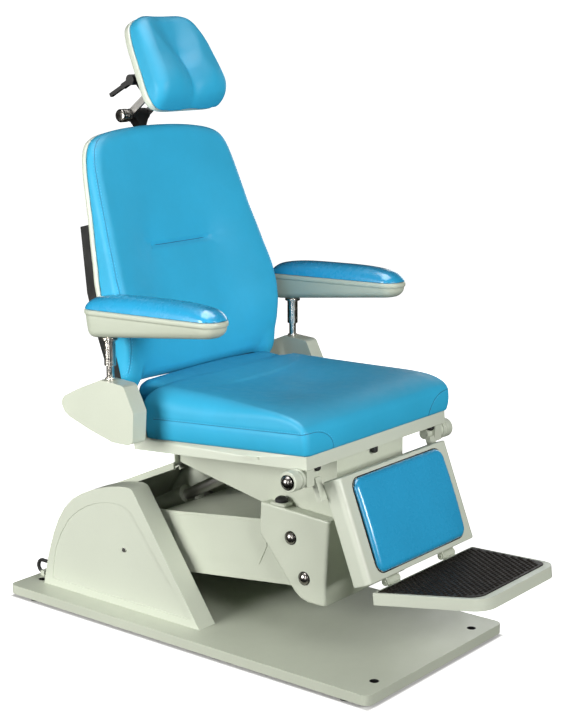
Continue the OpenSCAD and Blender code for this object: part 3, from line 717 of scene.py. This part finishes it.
def leg_pad_field(x, y, z):
    zc = z + 109.6
    q = round_box(x, zc, 161.0, 99.5, 22.0)
    front = -17.0 + 4.5 * (x / 163.0) ** 2 + 3.5 * (zc / 100.0) ** 2
    return rmax(rmax(q, front - y, 12.5), y + 0.15, 2.0)


leg = skin("legrest_pad_cover", leg_pad_field, (-168, -22, -216), (168, 4, -4), 3.2, ON_LEG, "blue_gloss", "legrest", sleek=True)
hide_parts("legrest_pad")
# Painted shadow: a thin black tube round the pad's edge stands for the shade in the gap between pad and panel.
gap = []
for sx, sz, a0 in ((1, 1, 0), (-1, 1, 90), (-1, -1, 180), (1, -1, 270)):
    for a in range(a0, a0 + 91, 10):
        gap.append((sx * (161.6 - 22) + 22 * math.cos(math.radians(a)), -0.2, -109.6 + sz * (100.1 - 22) + 22 * math.sin(math.radians(a))))
gap = np.array(gap + gap[:2])
v, q = tube(ON_LEG(resample(gap, 6.0)), 1.3 / 1000.0, 6)
obj_from("legrest_pad_gap_shadow", v, q, "gap", "legrest")

# ------------------------------------------------------------------ foot mat studs
def foot_half(y):
    return 186.0 + (186.0 - 137.5) / 237.0 * y


studs = []
pitch, row = 14.0, 0
yy = -16.0
while yy > -211.0:
    w = foot_half(yy) - 8.4 - 7.0
    off = 0.0 if row % 2 else pitch / 2
    for i in range(-14, 15):
        x = i * pitch + off
        lim = w - max(0.0, (-yy - 188.0)) * 0.9
        if abs(x) <= lim:
            ring0 = [(x + 4.9 * math.cos(a), yy + 3.9 * math.sin(a), 1.5) for a in np.arange(8) * math.pi / 4]
            ring1 = [(x + 4.1 * math.cos(a), yy + 3.2 * math.sin(a), 2.9) for a in np.arange(8) * math.pi / 4]
            ring2 = [(x + 2.1 * math.cos(a), yy + 1.6 * math.sin(a), 3.7) for a in np.arange(8) * math.pi / 4]
            v = np.array(ring0 + ring1 + ring2 + [(x, yy, 3.9)])
            f = [tuple(range(7, -1, -1))]
            for k in range(8):
                k2 = (k + 1) % 8
                f += [(k, k2, 8 + k2, 8 + k), (8 + k, 8 + k2, 16 + k2, 16 + k), (16 + k, 16 + k2, 24)]
            studs.append((ON_FOOT(v), f))
    yy -= pitch * 0.62
    row += 1
v, f = gather(studs)
obj_from("footrest_mat_studs", v, f, "mat_rubber", "footrest")

# ------------------------------------------------------------------ yoke, one bent sheet
YOKE = np.array([(-164, 331), (-347, 321), (-336, 134), (-290, 134), (-272, 139), (-256, 150), (-160, 262)], float)


def yoke_field(x, y, z):
    ax = np.abs(x)
    front = (-347.0 + (321.0 - z) * 11.0 / 187.0 - y) * 0.998
    outer = rmax(front, ax - 150.0, 9.0)
    wall = np.maximum(outer, -(outer + 7.0))
    prof = poly(y, z, YOKE)
    sheet = rmax(wall, prof, 1.6)
    top = 331.0 + (y + 164.0) * 10.0 / 183.0
    ledge = rmax(rmax(rmax(ax - 149.0, 120.0 - ax, 1.5), z - top, 1.5), top - 6.0 - z, 1.5)
    ledge = rmax(ledge, rmax(y + 164.0, outer, 2.0), 1.5)
    return rmin(sheet, ledge, 2.0)


yoke = skin("yoke_sheet", yoke_field, (-154, -352, 130), (154, -154, 336), 3.0, ROW, "ivory_paint", "seat", even=1)
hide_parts("carrier_left", "carrier_right", "carrier_front")

# ------------------------------------------------------------------ finish of the hard pieces
def soften(node, width, seg=3, angle=32.0):
    o = NODE[node]
    w = o.modifiers.new("weld", "WELD")
    w.merge_threshold = 2e-6
    d = o.modifiers.new("flat", "DECIMATE")
    d.decimate_type = "DISSOLVE"
    d.angle_limit = math.radians(0.6)
    b = o.modifiers.new("edge", "BEVEL")
    b.width = width / 1000.0
    b.segments = seg
    b.limit_method = "ANGLE"
    b.angle_limit = math.radians(angle)
    b.use_clamp_overlap = True
    n = o.modifiers.new("normals", "WEIGHTED_NORMAL")
    n.keep_sharp = False
    n.weight = 60
    o.data.polygons.foreach_set("use_smooth", [True] * len(o.data.polygons))


EDGES = {
    "base_plate": 5, "side_cover_left": 4.5, "side_cover_right": 4.5, "pivot_stands": 1, "cable_gland": 1.5,
    "arm_side_left": 1.2, "arm_side_right": 1.2, "arm_top_plate": 1, "arm_bottom_plate": 1, "tie_links": 1.5,
    "buffer_collars": 1, "rubber_buffers": 1, "rear_cover": 0.8,
    "seat_support": 1, "rear_guard": 1, "seat_frame": 3, "bracket_left": 5.5, "bracket_right": 5.5, "legrest_blocks": 2,
    "legrest_panel": 3, "legrest_lugs": 1.5, "legrest_stubs": 2, "legrest_caps": 1, "legrest_ears": 0.8, "footrest_plate": 3,
    "footrest_mat": 0.8, "footrest_knuckles": 1, "back_bar_left": 2.5, "back_bar_right": 2.5, "head_guide": 2, "head_post": 1.5,
    "head_links": 1, "head_knob": 0.5, "head_bracket": 2, "head_lever": 1.5, "pivot_bolts": 0.8, "cover_screws": 0.4,
    "base_feet": 1.5, "arm_rods": 0.5, "arm_sleeve_left": 0.8, "arm_sleeve_right": 0.8, "actuator_tube": 1, "actuator_rod": 1,
    "back_hinge_shaft": 0.8, "bracket_spacers": 0.8, "rear_shafts": 0.8,
}
for n, w in EDGES.items():
    soften(n, w)

# ------------------------------------------------------------------ stage and light
def panel(name, size, loc, aim, power, col=(1, 1, 1)):
    d = bpy.data.lights.new(name, "AREA")
    d.shape = "RECTANGLE"
    d.size, d.size_y = size
    d.energy = power
    d.color = col
    o = bpy.data.objects.new(name, d)
    scene.collection.objects.link(o)
    o.location = loc
    o.rotation_mode = "QUATERNION"
    o.rotation_quaternion = (Vector(aim) - Vector(loc)).to_track_quat("-Z", "Y")
    return o


def sweep_floor():
    """Floor that turns up into a backdrop behind the chair, square to the camera."""
    ux, uy = 0.782, 0.623
    vx, vy = -uy, ux
    line = [(-9.0, 0.0), (6.0, 0.0)]
    for i in range(1, 13):
        a = math.pi / 2 * i / 12
        line.append((6.0 + 2.5 * math.sin(a), 2.5 - 2.5 * math.cos(a)))
    line.append((8.5, 9.0))
    v, f = [], []
    for d, z in line:
        for w in (-12.0, 12.0):
            v.append((d * ux + w * vx, d * uy + w * vy, z))
    for i in range(len(line) - 1):
        f.append((2 * i, 2 * i + 2, 2 * i + 3, 2 * i + 1))
    return v, f


me = bpy.data.meshes.new("floor")
v, f = sweep_floor()
me.from_pydata(v, [], f)
me.polygons.foreach_set("use_smooth", [True] * len(me.polygons))
floor = bpy.data.objects.new("floor", me)
scene.collection.objects.link(floor)
fm = Mat("floor_pale", Roughness=0.9, Specular_IOR_Level=0.1)
fm.color(fm.ramp(fm.noise(0.6, 2.0), [(0.3, (0.86, 0.86, 0.86, 1)), (0.7, (0.89, 0.89, 0.89, 1))]))
fm.b.inputs["Emission Color"].default_value = (1, 1, 1, 1)
# Painted shadow: the floor's glow fades to almost nothing inside the base plate's footprint, standing for the contact
# shadow under the plate.
geo = fm.node("ShaderNodeNewGeometry")
spot = fm.node("ShaderNodeSeparateXYZ")
fm.link(geo.outputs["Position"], spot.inputs["Vector"])
painted_shadow_dist = fm.maths("MAXIMUM", fm.maths("SUBTRACT", fm.maths("ABSOLUTE", spot.outputs["X"], 0.0), 0.2535), fm.maths("SUBTRACT", fm.maths("ABSOLUTE", spot.outputs["Y"], 0.0), 0.5215))
fm.link(fm.remap(painted_shadow_dist, 0.02, 1.05, 0.0, 0.010), fm.b.inputs["Emission Strength"])
me.materials.append(fm.m)
floor.visible_diffuse = False
floor.visible_glossy = False

world = bpy.data.worlds.new("world")
scene.world = world
world.use_nodes = True
wt = world.node_tree
bg = wt.nodes["Background"]
co = wt.nodes.new("ShaderNodeTexCoord")
sep = wt.nodes.new("ShaderNodeSeparateXYZ")
wt.links.new(co.outputs["Generated"], sep.inputs["Vector"])
rp = wt.nodes.new("ShaderNodeValToRGB")
mr = wt.nodes.new("ShaderNodeMapRange")
mr.inputs["From Min"].default_value = -1.0
mr.inputs["From Max"].default_value = 1.0
wt.links.new(sep.outputs["Z"], mr.inputs["Value"])
wt.links.new(mr.outputs["Result"], rp.inputs["Fac"])
el = rp.color_ramp.elements
el[0].position, el[0].color = 0.0, (0.006, 0.007, 0.005, 1)
el[1].position, el[1].color = 1.0, (0.04, 0.045, 0.043, 1)
e = el.new(0.46)
e.color = (0.016, 0.018, 0.014, 1)
e = el.new(0.56)
e.color = (0.045, 0.048, 0.044, 1)
wt.links.new(rp.outputs["Color"], bg.inputs["Color"])
bg.inputs["Strength"].default_value = 1.0
panel("key", (1.2, 1.2), (-2.6, 0.85, 1.0), (0, 0.15, 0.6), 84, (1.0, 0.99, 0.955))
panel("front_fill", (1.3, 1.2), (-1.1, -3.7, 1.8), (0, 0, 0.65), 118, (1.0, 0.99, 0.96))
for gl in (panel("gloss_top", (1.5, 2.2), (-0.35, 0.0, 2.5), (-0.2, 0, 0.7), 80), panel("gloss_left", (0.5, 1.9), (-3.0, -1.35, 1.1), (0, -0.1, 0.6), 26)):
    gl.visible_diffuse = False
panel("right_fill", (1.6, 1.4), (3.2, 0.7, 1.3), (0, 0, 0.6), 18)
sd = bpy.data.lights.new("upper", "SPOT")
sd.energy, sd.spot_size, sd.spot_blend, sd.shadow_soft_size = 250.0, math.radians(24), 1.0, 0.45
so = bpy.data.objects.new("upper", sd)
scene.collection.objects.link(so)
so.location = (-1.2, -3.8, 1.6)
so.rotation_mode = "QUATERNION"
so.rotation_quaternion = (Vector((0, 0.1, 0.98)) - Vector(so.location)).to_track_quat("-Z", "Y")
scene.view_settings.view_transform = "Standard"
scene.view_settings.look = "None"
scene.view_settings.exposure = 0.0
scene.view_settings.gamma = 1.0
